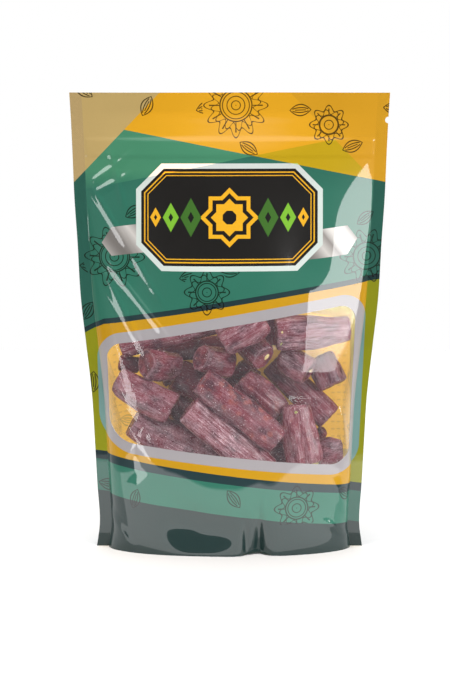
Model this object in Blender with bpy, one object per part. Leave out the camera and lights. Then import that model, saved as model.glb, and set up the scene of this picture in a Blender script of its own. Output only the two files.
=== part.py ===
"""Stand-up pouch of pistachio turkish delight rolls.

A printed film pouch stands on its folded-out bottom. It is sealed flat at the top and down both sides.
A clear window in its front shows a pile of sugar-dusted mulberry rolls with pistachio inside.
Units are metres, +Z is up and the front faces -Y. The origin is the middle of the underside.
"""

import math
import random

import bmesh
import bpy
from mathutils import Vector
from mathutils.bvhtree import BVHTree

# The pouch: sizes of the film body and of its flat side seals
HEIGHT = 0.288
SIDE_SEAL = 0.0075
SEAL_THICKNESS = 0.0012
WALL = 0.0010
FIT_GAP = 0.0003

# height, half width at the seal's edge, half depth between the seals, how blunt the section is
PROFILE = (
    (0.000, 0.0845, 0.0330, 0.50),
    (0.016, 0.0826, 0.0342, 0.50),
    (0.040, 0.0840, 0.0345, 0.50),
    (0.070, 0.0855, 0.0330, 0.50),
    (0.097, 0.0870, 0.0300, 0.52),
    (0.130, 0.0905, 0.0255, 0.56),
    (0.160, 0.0937, 0.0212, 0.62),
    (0.195, 0.0955, 0.0170, 0.72),
    (0.222, 0.0972, 0.0128, 0.82),
    (0.250, 0.0982, 0.0070, 0.95),
    (0.268, 0.0989, 0.0022, 1.00),
    (0.276, 0.0993, 0.0003, 1.00),
    (HEIGHT, 0.1000, 0.0002, 1.00),
)

# Dents and swells of the filled film: side (-1 front, 1 back), x, height, reach along x, reach up, depth
DENTS = (
    (-1, 0.017, 0.000, 0.007, 0.022, 0.0070),
    (-1, -0.058, 0.176, 0.012, 0.030, 0.0022),
    (-1, 0.046, 0.186, 0.016, 0.028, 0.0018),
    (-1, -0.016, 0.172, 0.020, 0.018, -0.0016),
    (-1, 0.052, 0.034, 0.014, 0.016, 0.0022),
    (-1, -0.048, 0.030, 0.014, 0.018, 0.0018),
    (1, 0.000, 0.120, 0.030, 0.030, 0.0024),
    (1, -0.044, 0.060, 0.018, 0.024, 0.0020),
    (1, 0.040, 0.176, 0.020, 0.026, 0.0022),
    (1, -0.010, 0.006, 0.010, 0.022, 0.0050),
)
PUCKER_X = 0.017
PUCKER_REACH = 0.007
PUCKER_LIFT = 0.0035
TOP_SWAY = 0.0022
SWAY_TURN = 42.0
SWAY_START = 0.6
DENT_FADE_DEPTH = 0.012

# The press-to-close strip, which shows as a low raised band across the film
ZIP_LOW = 0.2475
ZIP_HIGH = 0.2600
ZIP_EDGE = 0.0012
ZIP_RISE = 0.0006

# Tear notch in the right seal
NOTCH_HEIGHT = 0.271
NOTCH_RADIUS = 0.0021
NOTCH_SIDES = 12
NOTCH_CUT_LENGTH = 0.030

# Underside: a standing rim, a groove inside it and a flat middle that rests on the surface
GROOVE_RISE = 0.0042
UNDERSIDE_ROWS = (
    (-0.95, 0.0),
    (-0.86, 0.6),
    (-0.74, 1.0),
    (-0.60, 0.0),
    (0.60, 0.0),
    (0.74, 1.0),
    (0.86, 0.6),
    (0.95, 0.0),
)

# The room behind the window, from under its lowest corner to above its highest
ROOM_FLOOR = 0.034
ROOM_CEILING = 0.172
ROOM_SIDE_INSET = 0.0016

# The clear window: corners as x and height, clockwise from the lower left as seen from the front
WINDOW_CORNERS = ((-0.0755, 0.0715), (-0.0770, 0.1305), (0.0795, 0.1570), (0.0750, 0.0550))
WINDOW_RADIUS = 0.0115
WINDOW_ARC_STEPS = 5
WINDOW_CUT_DEPTH = 0.060
PANE_MARGIN = 0.004

BODY_COLUMNS = 22
BODY_ROW_HEIGHT = 0.0095
ROOM_ROW_HEIGHT = 0.0125

# The rolls. Their places are read along lines of sight from this point, so x and height are
# those where the line of sight crosses the plane between the two seals.
SIGHT_POINT = Vector((0.0, -1.489, 0.333))
ROLL_SIDES = 12
ROLL_SEED = 41
ROLL_CLEARANCE = 0.00035
ROLL_START_DEPTH = 0.036
ROLL_STEPS = (0.0020, 0.0005, 0.0001)
ROLL_ROCK_STEP = 0.0005
ROLL_ROCKS = 24
ROLL_FLATNESS = 0.68
LEANING_ROLL = 0.0075
LEANING_FLATNESS = 0.92
ROLL_EDGE = 0.0012
ROLL_END_SCALE = 0.92
ROLL_QUARTER_SCALE = 1.03
ROLL_WAIST_SCALE = 1.09
ROLL_BEND_UP = 0.0012
ROLL_BEND_OUT = 0.0008
ROLL_LUMP_LEAST = 0.015
ROLL_LUMP_MOST = 0.05
ROLL_LUMP_TWIST = 2.2

# All in millimetres, from the front of the pile to its back: x and height of end A, x and height
# of end B, width at A, width at B, how far B lies behind A
ROLLS = (
    (-18.5, 106.5, 31, 67, 19, 19, 0),
    (-53, 117.5, -34.5, 116, 18.5, 18.5, 17),
    (42, 91, 48.5, 53.5, 17, 26.5, 0),
    (-71, 108, -36, 88, 17.5, 22, -6),
    (-5, 130.5, 22, 146.5, 20.5, 19, 2),
    (22, 121, 6.5, 135, 17.5, 18, 19),
    (-18.5, 121, 0, 116.5, 18, 17.5, 16),
    (7.5, 108, 32.5, 85, 18, 18.5, 0),
    (-26, 88.5, 23.5, 47, 21, 21.5, 4),
    (-61, 81, -7, 51, 24, 23, 6),
    (29, 137, 76, 140, 23.5, 16.5, 4),
    (33.5, 123.5, 50.5, 112, 18, 18.5, -8),
    (57.5, 122.5, 66.5, 103.5, 19, 19.5, -5),
    (56, 60, 72, 61, 17, 15, 0),
    (26, 117.5, 63, 82, 15, 18.5, -4),
    (-69, 127, -9, 143, 13, 14, 0),
    (-34, 110.5, -12, 98, 22, 18, 2),
    (-70, 118, -57, 116, 10, 10, 2),
    (52.5, 70, 60, 75, 7.5, 7.5, -6),
    (22, 58.5, 36, 58.5, 16, 16, 4),
    (-44.5, 123.5, -1, 129, 12, 13, 0),
    (23, 147.5, 26, 129, 14, 14, 0),
    (4.5, 116, 16.5, 106, 14, 14, 0),
    (31.5, 84, 33, 65, 13, 13, 0),
    (-36, 96, -22, 72.5, 19, 17, 0),
    (-42.5, 106, -31.5, 110.5, 11, 11, 0),
    (-4.5, 111.5, 3.5, 103.5, 12, 12, 0),
)


def profile_at(height):
    """Half width, half depth and bluntness at a height, on a smooth curve through PROFILE."""
    height = min(max(height, 0.0), HEIGHT)
    row = 0
    while row < len(PROFILE) - 2 and height > PROFILE[row + 1][0]:
        row += 1
    below, low = PROFILE[max(row - 1, 0)], PROFILE[row]
    high, above = PROFILE[row + 1], PROFILE[min(row + 2, len(PROFILE) - 1)]
    part = (height - low[0]) / (high[0] - low[0])
    values = []
    for k in (1, 2, 3):
        slope_low = (high[k] - below[k]) / max(high[0] - below[0], 1e-9)
        slope_high = (above[k] - low[k]) / max(above[0] - low[0], 1e-9)
        span = high[0] - low[0]
        values.append(
            (2 * part**3 - 3 * part**2 + 1) * low[k]
            + (part**3 - 2 * part**2 + part) * span * slope_low
            + (3 * part**2 - 2 * part**3) * high[k]
            + (part**3 - part**2) * span * slope_high
        )
    return values


def zip_rise(height):
    """Height of the raised band over the press-to-close strip."""
    inside = min(height - ZIP_LOW, ZIP_HIGH - height)
    return ZIP_RISE * min(max(inside / ZIP_EDGE, 0.0), 1.0)


def dent(side, x, height):
    """How far the film is pushed in at a place."""
    depth = 0.0
    for dent_side, dent_x, dent_height, reach_x, reach_up, amount in DENTS:
        if dent_side == side:
            away = ((x - dent_x) / reach_x) ** 2 + ((height - dent_height) / reach_up) ** 2
            depth += amount * math.exp(-away)
    return depth


def sway(x, height):
    """The whole flat top waves a little to the front and the back."""
    return TOP_SWAY * math.sin(x * SWAY_TURN + SWAY_START) * (height / HEIGHT) ** 4


def film_point(across, height, side):
    """A point of the film: across runs from -1 at the left seal to 1 at the right seal."""
    half_width, half_depth, bluntness = profile_at(height)
    turn = across * math.pi / 2
    x = (half_width - SIDE_SEAL) * math.sin(turn)
    bulge = max(math.cos(turn), 0.0) ** (2 * bluntness)
    fade = max(math.cos(turn), 0.0) ** 0.5
    depth = SEAL_THICKNESS / 2 + half_depth * bulge
    depth += fade * (zip_rise(height) - dent(side, x, height) * min(half_depth / DENT_FADE_DEPTH, 1.0))
    return Vector((x, side * max(depth, SEAL_THICKNESS / 2) + sway(x, height), height))


def film_depth(x, height, side):
    """The film's place along Y at any x and height inside the seals."""
    body = profile_at(height)[0] - SIDE_SEAL
    across = math.asin(max(-1.0, min(1.0, x / body))) * 2 / math.pi
    return film_point(across, height, side).y


def seal_edge(height, end, side):
    """A corner of a side seal's outer edge; end is -1 left, 1 right."""
    x = end * profile_at(height)[0]
    return Vector((x, side * SEAL_THICKNESS / 2 + sway(x, height), height))


def row_heights(low, high, spacing, extra=()):
    """Evenly spaced heights with some exact ones put in place of their close neighbours."""
    count = max(2, round((high - low) / spacing))
    even = [low + (high - low) * i / count for i in range(count + 1)]
    kept = [h for h in even[1:-1] if all(abs(h - e) > spacing / 3 for e in extra)]
    return sorted([low, high, *kept, *extra])


def across_steps(columns):
    return [-1 + 2 * i / columns for i in range(columns + 1)]


def add_quads(bm, lower, upper, closed=True):
    """Faces between two rows of vertices that run the same way."""
    count = len(lower)
    for i in range(count if closed else count - 1):
        j = (i + 1) % count
        bm.faces.new((lower[i], lower[j], upper[j], upper[i]))


def make_object(name, bm, material):
    mesh = bpy.data.meshes.new(name)
    bm.normal_update()
    bm.to_mesh(mesh)
    bm.free()
    item = bpy.data.objects.new(name, mesh)
    bpy.context.collection.objects.link(item)
    if material is not None:
        mesh.materials.append(material)
    return item


def make_cutter(name, bm):
    cutter = make_object(name, bm, None)
    cutter.hide_render = True
    cutter.display_type = 'WIRE'
    return cutter


def add_boolean(item, cutter, operation):
    cut = item.modifiers.new(cutter.name, 'BOOLEAN')
    cut.operation = operation
    cut.solver = 'EXACT'
    cut.object = cutter


def make_material(name, colour, roughness, metallic=0.0, alpha=1.0):
    material = bpy.data.materials.new(name)
    material.use_nodes = True
    shader = material.node_tree.nodes['Principled BSDF']
    shader.inputs['Base Color'].default_value = (*colour, 1.0)
    shader.inputs['Roughness'].default_value = roughness
    shader.inputs['Metallic'].default_value = metallic
    shader.inputs['Alpha'].default_value = alpha
    return material


def pouch_ring(bm, height):
    """One closed row round the pouch: the front from left to right, then the back."""
    points = [seal_edge(height, -1, -1)]
    points += [film_point(a, height, -1) for a in across_steps(BODY_COLUMNS)]
    points += [seal_edge(height, 1, -1), seal_edge(height, 1, 1)]
    points += [film_point(-a, height, 1) for a in across_steps(BODY_COLUMNS)]
    points.append(seal_edge(height, -1, 1))
    return [bm.verts.new(p) for p in points]


def lift_pucker(ring):
    """The bottom rim is drawn up where the film is puckered."""
    for vert in ring:
        if vert.co.y < -0.001:
            away = (vert.co.x - PUCKER_X) / PUCKER_REACH
            vert.co.z += PUCKER_LIFT * math.exp(-away * away)


def close_top(bm, ring):
    """The top edge: short faces from the front film to the back film."""
    half = len(ring) // 2
    front, back = ring[:half], ring[:half - 1:-1]
    for i in range(half - 1):
        bm.faces.new((front[i], front[i + 1], back[i + 1], back[i]))


def close_underside(bm, ring):
    """The folded-out bottom, from the front rim to the back rim."""
    half = len(ring) // 2
    front, back = ring[:half], ring[:half - 1:-1]
    last = half - 3
    columns = []
    for i in range(2, last + 1):
        reach = 1 - (front[i].co.x / front[last].co.x) ** 4
        column = [front[i]]
        for share, rise in UNDERSIDE_ROWS:
            rim = front[i] if share < 0 else back[i]
            place = Vector((rim.co.x, abs(share) * rim.co.y, GROOVE_RISE * rise * reach))
            column.append(bm.verts.new(place))
        column.append(back[i])
        columns.append(column)
    for left, right in zip(columns, columns[1:]):
        for i in range(len(left) - 1):
            bm.faces.new((left[i], left[i + 1], right[i + 1], right[i]))
    for outer, inner in ((0, 1), (half - 2, half - 1)):
        bm.faces.new((front[inner], front[outer], back[outer], back[inner]))
    bm.faces.new((front[1], back[1], *reversed(columns[0])))
    bm.faces.new((back[last + 1], front[last + 1], *columns[-1]))


def make_pouch(material):
    """The film body with its seals, solid except for the room behind the window."""
    bm = bmesh.new()
    band = (ZIP_LOW, ZIP_LOW + ZIP_EDGE, ZIP_HIGH - ZIP_EDGE, ZIP_HIGH)
    rings = [pouch_ring(bm, h) for h in row_heights(0.0, HEIGHT, BODY_ROW_HEIGHT, band)]
    lift_pucker(rings[0])
    for lower, upper in zip(rings, rings[1:]):
        add_quads(bm, lower, upper)
    close_top(bm, rings[-1])
    close_underside(bm, rings[0])
    bmesh.ops.recalc_face_normals(bm, faces=bm.faces)
    pouch = make_object("pouch", bm, material)
    add_boolean(pouch, room_cutter(), 'DIFFERENCE')
    add_boolean(pouch, window_prism("window_cut", 0.0), 'DIFFERENCE')
    add_boolean(pouch, notch_cutter(), 'DIFFERENCE')
    return pouch


def room_point(across, height, side):
    """A point of the room's wall, one film wall inside the pouch's surface."""
    point = film_point(across, height, side)
    body = profile_at(height)[0] - SIDE_SEAL
    centre = sway(point.x, height)
    depth = max(abs(point.y - centre) - WALL, 0.0)
    return Vector((point.x * (1 - ROOM_SIDE_INSET / body), centre + side * depth, height))


def room_cutter():
    bm = bmesh.new()
    steps = across_steps(BODY_COLUMNS)
    rings = []
    for height in row_heights(ROOM_FLOOR, ROOM_CEILING, ROOM_ROW_HEIGHT):
        points = [room_point(a, height, -1) for a in steps]
        points += [room_point(-a, height, 1) for a in steps[1:-1]]
        rings.append([bm.verts.new(p) for p in points])
    for lower, upper in zip(rings, rings[1:]):
        add_quads(bm, lower, upper)
    bm.faces.new(reversed(rings[0]))
    bm.faces.new(rings[-1])
    bmesh.ops.recalc_face_normals(bm, faces=bm.faces)
    return make_cutter("room_cut", bm)


def rounded_outline(corners, radius, arc_steps, inset=0.0):
    """The outline's points, with each corner an arc, moved inwards by inset."""
    points = []
    radius -= inset
    for i, corner in enumerate(corners):
        here = Vector(corner)
        before = (Vector(corners[i - 1]) - here).normalized()
        after = (Vector(corners[(i + 1) % len(corners)]) - here).normalized()
        half_angle = before.angle(after) / 2
        centre = here + (before + after).normalized() * ((radius + inset) / math.sin(half_angle))
        touch = here + before * ((radius + inset) / math.tan(half_angle))
        arm = (touch - centre).normalized() * radius
        turn = math.pi - 2 * half_angle
        for k in range(arc_steps + 1):
            angle = -turn * k / arc_steps
            points.append(Vector((
                centre.x + arm.x * math.cos(angle) - arm.y * math.sin(angle),
                centre.y + arm.x * math.sin(angle) + arm.y * math.cos(angle),
            )))
    return points


def window_prism(name, inset):
    bm = bmesh.new()
    outline = rounded_outline(WINDOW_CORNERS, WINDOW_RADIUS, WINDOW_ARC_STEPS, inset)
    front = [bm.verts.new((p.x, -WINDOW_CUT_DEPTH, p.y)) for p in outline]
    back = [bm.verts.new((p.x, 0.0, p.y)) for p in outline]
    add_quads(bm, front, back)
    bm.faces.new(front)
    bm.faces.new(reversed(back))
    bmesh.ops.recalc_face_normals(bm, faces=bm.faces)
    return make_cutter(name, bm)


def notch_cutter():
    bm = bmesh.new()
    bmesh.ops.create_cone(
        bm, cap_ends=True, segments=NOTCH_SIDES,
        radius1=NOTCH_RADIUS, radius2=NOTCH_RADIUS, depth=NOTCH_CUT_LENGTH)
    edge = profile_at(NOTCH_HEIGHT)[0]
    for vert in bm.verts:
        vert.co = Vector((edge + vert.co.x, -vert.co.z, NOTCH_HEIGHT + vert.co.y))
    return make_cutter("notch_cut", bm)


def make_window_pane(material):
    """The clear part of the film, one wall thick, with a hairline gap all round."""
    bm = bmesh.new()
    low = min(corner[1] for corner in WINDOW_CORNERS) - PANE_MARGIN
    high = max(corner[1] for corner in WINDOW_CORNERS) + PANE_MARGIN
    band = row_heights(0.0, HEIGHT, BODY_ROW_HEIGHT)
    heights = [h for h in band if low - BODY_ROW_HEIGHT < h < high + BODY_ROW_HEIGHT]
    steps = across_steps(BODY_COLUMNS)[1:-1]
    faces = []
    for push in (0.0, WALL):
        rows = []
        for height in heights:
            points = [film_point(a, height, -1) + Vector((0.0, push, 0.0)) for a in steps]
            rows.append([bm.verts.new(p) for p in points])
        for lower, upper in zip(rows, rows[1:]):
            add_quads(bm, lower, upper, closed=False)
        faces.append(rows)
    outer, inner = faces
    for row in (0, -1):
        add_quads(bm, outer[row], inner[row], closed=False)
    for column in (0, -1):
        add_quads(bm, [r[column] for r in outer], [r[column] for r in inner], closed=False)
    bmesh.ops.recalc_face_normals(bm, faces=bm.faces)
    pane = make_object("window_pane", bm, material)
    add_boolean(pane, window_prism("pane_cut", FIT_GAP), 'INTERSECT')
    return pane


def roll_lumps(rng):
    """Small uneven swells of a roll: how strong and where round it each one lies."""
    lumps = []
    for order in (2, 3, 4):
        amount = rng.uniform(ROLL_LUMP_LEAST, ROLL_LUMP_MOST)
        lumps.append((order, amount, rng.uniform(0, math.tau)))
    return lumps


def roll_rings(end_a, end_b, width_a, width_b, flatness, lumps, bend, grow=0.0):
    """Rows of points round a roll whose cut ends are slightly drawn in."""
    axis = (end_b - end_a).normalized()
    up = axis.cross(Vector((0.0, 1.0, 0.0))).normalized()
    out = axis.cross(up).normalized()
    length = (end_b - end_a).length
    edge = ROLL_EDGE / length
    rows = ((-grow / length, ROLL_END_SCALE), (edge, 1.0), (0.25, ROLL_QUARTER_SCALE),
            (0.5, ROLL_WAIST_SCALE), (0.75, ROLL_QUARTER_SCALE), (1 - edge, 1.0), (1 + grow / length, ROLL_END_SCALE))
    rings = []
    for share, scale in rows:
        part = min(max(share, 0.0), 1.0)
        centre = end_a + (end_b - end_a) * share
        centre += (up * bend[0] + out * bend[1]) * math.sin(math.pi * part)
        radius = (width_a + (width_b - width_a) * part) / 2
        ring = []
        for k in range(ROLL_SIDES):
            angle = math.tau * (k + 0.5) / ROLL_SIDES
            lump = 1.0
            for order, amount, place in lumps:
                lump += amount * math.sin(order * angle + place + ROLL_LUMP_TWIST * part)
            reach = radius * scale * lump + grow
            arm = up * math.cos(angle) + out * (flatness * math.sin(angle))
            ring.append(centre + arm * reach)
        rings.append(ring)
    return rings


def roll_faces(rings):
    """Vertices and faces of a roll, with a fan at each cut end."""
    verts = [p for ring in rings for p in ring]
    sides = len(rings[0])
    faces = []
    for row in range(len(rings) - 1):
        for k in range(sides):
            j = (k + 1) % sides
            low, high = row * sides, (row + 1) * sides
            faces.append((low + k, low + j, high + j, high + k))
    for ring, first in ((rings[0], 0), (rings[-1], (len(rings) - 1) * sides)):
        middle = len(verts)
        verts.append(sum(ring, Vector()) / sides)
        for k in range(sides):
            faces.append((first + k, first + (k + 1) % sides, middle))
    return verts, faces


def along_sight(x, height, depth):
    """Where the line of sight through x and height on the middle plane reaches a depth."""
    on_plane = Vector((x, 0.0, height))
    return SIGHT_POINT + (on_plane - SIGHT_POINT) * ((depth - SIGHT_POINT.y) / -SIGHT_POINT.y)


def clear_of_front(verts):
    """Whether every point stays behind the front film's inner face, by the gap."""
    for p in verts:
        half_room = profile_at(p.z)[0] - SIDE_SEAL - ROOM_SIDE_INSET - ROLL_CLEARANCE
        if abs(p.x) > half_room:
            return False
        if p.y < film_depth(p.x, p.z, -1) + WALL + ROLL_CLEARANCE:
            return False
    return True


def settle_roll(row, lumps, bend, placed):
    """Brings a roll forward from behind the pile until the window or another roll stops it.

    Then either end rocks forward by itself, a little at a time, while there is room for it. A roll
    that leans out of the pile, with one cut end to the front, keeps its lean.
    """
    ax, az, bx, bz, width_a, width_b, behind = (0.001 * value for value in row)
    leaning = abs(behind) > LEANING_ROLL
    flatness = LEANING_FLATNESS if leaning else ROLL_FLATNESS

    def shape(depth_a, depth_b, grow=0.0):
        ends = along_sight(ax, az, depth_a), along_sight(bx, bz, depth_b)
        return roll_rings(*ends, width_a, width_b, flatness, lumps, bend, grow)

    def is_free(depth_a, depth_b):
        verts, faces = roll_faces(shape(depth_a, depth_b, ROLL_CLEARANCE))
        if not clear_of_front(verts):
            return False
        tree = BVHTree.FromPolygons(verts, faces)
        return not any(tree.overlap(other) for other in placed)

    depths = [ROLL_START_DEPTH, ROLL_START_DEPTH + behind]
    for step in ROLL_STEPS:
        while is_free(depths[0] - step, depths[1] - step):
            depths = [depths[0] - step, depths[1] - step]
    for _ in range(0 if leaning else ROLL_ROCKS):
        for end in (0, 1):
            rocked = list(depths)
            rocked[end] -= ROLL_ROCK_STEP
            if is_free(*rocked):
                depths = rocked
    return shape(*depths)


def make_rolls(material):
    """The pile behind the window, each roll settled against those in front of it."""
    rng = random.Random(ROLL_SEED)
    placed = []
    rolls = []
    for number, row in enumerate(ROLLS, start=1):
        lumps = roll_lumps(rng)
        bend = (rng.uniform(-ROLL_BEND_UP, ROLL_BEND_UP), rng.uniform(-ROLL_BEND_OUT, ROLL_BEND_OUT))
        verts, faces = roll_faces(settle_roll(row, lumps, bend, placed))
        placed.append(BVHTree.FromPolygons(verts, faces))
        bm = bmesh.new()
        corners = [bm.verts.new(p) for p in verts]
        for face in faces:
            bm.faces.new([corners[i] for i in face])
        bmesh.ops.recalc_face_normals(bm, faces=bm.faces)
        roll = make_object(f"roll_{number:02d}", bm, material)
        roll.data.shade_smooth()
        rolls.append(roll)
    return rolls


def main():
    for item in list(bpy.data.objects):
        bpy.data.objects.remove(item, do_unlink=True)
    make_pouch(make_material("printed_film", (0.05, 0.25, 0.17), 0.25))
    make_window_pane(make_material("clear_film", (0.92, 0.94, 0.93), 0.08, alpha=0.25))
    make_rolls(make_material("mulberry_roll", (0.27, 0.07, 0.09), 0.65))


main()
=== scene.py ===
import math
import random

import bpy
import numpy as np
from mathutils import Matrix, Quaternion, Vector, noise
from mathutils.bvhtree import BVHTree


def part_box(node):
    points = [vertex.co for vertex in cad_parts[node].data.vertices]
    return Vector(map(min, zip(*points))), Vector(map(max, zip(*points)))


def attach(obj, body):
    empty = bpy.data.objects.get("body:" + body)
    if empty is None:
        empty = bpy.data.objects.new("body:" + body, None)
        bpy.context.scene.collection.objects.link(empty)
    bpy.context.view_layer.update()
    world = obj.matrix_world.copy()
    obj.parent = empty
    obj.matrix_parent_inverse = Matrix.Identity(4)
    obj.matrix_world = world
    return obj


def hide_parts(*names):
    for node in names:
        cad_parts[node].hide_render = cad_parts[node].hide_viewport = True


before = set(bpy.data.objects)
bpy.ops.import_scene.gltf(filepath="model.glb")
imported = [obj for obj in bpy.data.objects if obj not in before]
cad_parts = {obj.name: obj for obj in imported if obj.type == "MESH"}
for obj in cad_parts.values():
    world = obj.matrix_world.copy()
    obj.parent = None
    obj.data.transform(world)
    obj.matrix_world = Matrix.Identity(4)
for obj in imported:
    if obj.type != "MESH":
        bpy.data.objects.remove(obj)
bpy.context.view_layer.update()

# The camera stands level with the pouch's shoulders, one and a half metres away, and looks a little down.
CAMERA_TILT = math.radians(7.0)
CAMERA_DISTANCE = 1.5
CAMERA_AIM = Vector((0.0, 0.0, 0.150))
PICTURE_SIZE = (450, 675)
AIM_PIXEL = (229.5, 312.2)
FOCAL_PIXELS = 2379.0
SENSOR = 36.0


def stand(name, data):
    """A new object in the scene with this mesh, light or camera."""
    item = bpy.data.objects.new(name, data)
    bpy.context.collection.objects.link(item)
    return item


camera_data = bpy.data.cameras.new("camera")
camera_data.sensor_width = SENSOR
camera_data.lens = SENSOR * FOCAL_PIXELS / PICTURE_SIZE[1]
camera_data.shift_x = (PICTURE_SIZE[0] / 2 - AIM_PIXEL[0]) / PICTURE_SIZE[1]
camera_data.shift_y = (AIM_PIXEL[1] - PICTURE_SIZE[1] / 2) / PICTURE_SIZE[1]
camera = stand("camera", camera_data)
camera.location = CAMERA_AIM + CAMERA_DISTANCE * Vector((0.0, -math.cos(CAMERA_TILT), math.sin(CAMERA_TILT)))
camera.rotation_euler = (math.pi / 2 - CAMERA_TILT, 0.0, 0.0)
bpy.context.scene.camera = camera
bpy.context.scene.view_settings.view_transform = 'Standard'


# The front panel is one sheet of laminated plastic film, printed on its inner ply, with a window left
# clear. It is heat-sealed to the back panel down both sides and across the top, and bulges in between.
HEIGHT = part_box("pouch")[1].z
SIDE_SEAL = 0.0075
FLAT_HALF = 0.0925
SEAL_HALF = 0.0003
FILM_THICKNESS = 0.00022
FILM_SHARP_ANGLE = 50

# height, half width at the seal's edge, half depth between the seals, how blunt the section is
PROFILE = (
    (0.000, 0.0845, 0.0330, 0.50),
    (0.016, 0.0826, 0.0342, 0.50),
    (0.040, 0.0840, 0.0345, 0.50),
    (0.070, 0.0855, 0.0330, 0.50),
    (0.097, 0.0870, 0.0300, 0.52),
    (0.130, 0.0905, 0.0255, 0.56),
    (0.160, 0.0937, 0.0212, 0.62),
    (0.195, 0.0955, 0.0170, 0.72),
    (0.222, 0.0972, 0.0128, 0.82),
    (0.250, 0.0982, 0.0070, 0.95),
    (0.268, 0.0989, 0.0022, 1.00),
    (0.276, 0.0993, 0.0003, 1.00),
    (HEIGHT, 0.1000, 0.0002, 1.00),
)

# side (-1 front, 1 back), x, height, reach along x, reach up, depth
DENTS = (
    (-1, 0.017, 0.000, 0.007, 0.022, 0.0070),
    (-1, -0.058, 0.176, 0.012, 0.030, 0.0022),
    (-1, 0.046, 0.186, 0.016, 0.028, 0.0018),
    (-1, -0.016, 0.172, 0.020, 0.018, -0.0016),
    (-1, 0.052, 0.034, 0.014, 0.016, 0.0022),
    (-1, -0.040, 0.031, 0.014, 0.014, 0.0014),
    (-1, -0.012, 0.016, 0.022, 0.0120, 0.0037),
    (-1, -0.030, 0.020, 0.010, 0.0130, 0.0022),
    (-1, -0.022, 0.026, 0.006, 0.0070, 0.0010),
    (-1, 0.0105, 0.010, 0.0022, 0.014, 0.0022),
    (-1, 0.0190, 0.012, 0.0024, 0.016, 0.0022),
    (1, 0.000, 0.120, 0.030, 0.030, 0.0024),
    (1, -0.044, 0.060, 0.018, 0.024, 0.0020),
    (1, 0.040, 0.176, 0.020, 0.026, 0.0022),
    (1, -0.010, 0.006, 0.010, 0.022, 0.0050),
)
DENT_FADE_DEPTH = 0.012
ZIP_BAND = (0.2475, 0.2600)
ZIP_EDGE = 0.0012
ZIP_RISE = 0.0006
TOP_SWAY, SWAY_TURNS, SWAY_START = 0.0022, 42, 0.6
FRONT_PITCH, FRONT_SEAL_PITCH = 0.00105, 0.00075
NOTCH_HEIGHT = 0.271
NOTCH_RADIUS = 0.0021


def profile_at(height):
    """Half width, half depth and bluntness at a height, on a smooth curve through PROFILE."""
    row = 0
    while row < len(PROFILE) - 2 and height > PROFILE[row + 1][0]:
        row += 1
    below, low = PROFILE[max(row - 1, 0)], PROFILE[row]
    high, above = PROFILE[row + 1], PROFILE[min(row + 2, len(PROFILE) - 1)]
    span = high[0] - low[0]
    part = (height - low[0]) / span
    values = []
    for k in (1, 2, 3):
        slope_low = (high[k] - below[k]) / max(high[0] - below[0], 1e-9)
        slope_high = (above[k] - low[k]) / max(above[0] - low[0], 1e-9)
        value = (2 * part**3 - 3 * part**2 + 1) * low[k] + (3 * part**2 - 2 * part**3) * high[k]
        value += (part**3 - 2 * part**2 + part) * span * slope_low
        value += (part**3 - part**2) * span * slope_high
        values.append(value)
    return values


TABLE_ROWS, TABLE_COLUMNS = 577, 741
TURN_STEPS = 1601
table_heights = np.linspace(0.0, HEIGHT, TABLE_ROWS)
table_profile = np.array([profile_at(h) for h in table_heights])


def film_table(side):
    """X and Y of the filled film on a regular grid of its flat width and its height."""
    turn = np.linspace(-1, 1, TURN_STEPS) * math.pi / 2
    flat = np.linspace(-FLAT_HALF, FLAT_HALF, TABLE_COLUMNS)
    table = np.zeros((TABLE_ROWS, TABLE_COLUMNS, 2))
    cosine = np.maximum(np.cos(turn), 0.0)
    for row, height in enumerate(table_heights):
        half_width, half_depth, bluntness = table_profile[row]
        x = (half_width - SIDE_SEAL) * np.sin(turn)
        band = min(max(min(height - ZIP_BAND[0], ZIP_BAND[1] - height) / ZIP_EDGE, 0.0), 1.0)
        dents = np.zeros_like(x)
        for dent_side, at_x, at_height, reach_x, reach_up, amount in DENTS:
            if dent_side == side:
                aside, above = (x - at_x) / reach_x, (height - at_height) / reach_up
                dents += amount * np.exp(-aside**2 - above**2)
        depth = SEAL_HALF + max(half_depth - SEAL_HALF, 0.0) * cosine ** (2 * bluntness)
        depth += cosine**0.5 * (ZIP_RISE * band - dents * min(half_depth / DENT_FADE_DEPTH, 1.0))
        y = side * np.maximum(depth, SEAL_HALF) + top_sway(x, height)
        length = np.concatenate([[0.0], np.cumsum(np.hypot(np.diff(x), np.diff(y)))])
        along = (length / length[-1] * 2 - 1) * FLAT_HALF
        table[row, :, 0] = np.interp(flat, along, x)
        table[row, :, 1] = np.interp(flat, along, y)
    return table


def top_sway(x, height):
    """The flat top waves a little to the front and the back."""
    return TOP_SWAY * np.sin(x * SWAY_TURNS + SWAY_START) * (height / HEIGHT) ** 4


film_tables = {side: film_table(side) for side in (-1, 1)}


# The front's foot is puckered up at one place: x, reach and rise, and the height at which it is smooth again
PUCKER = (0.017, 0.007, 0.0035)
PUCKER_TOP = 0.010


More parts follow.
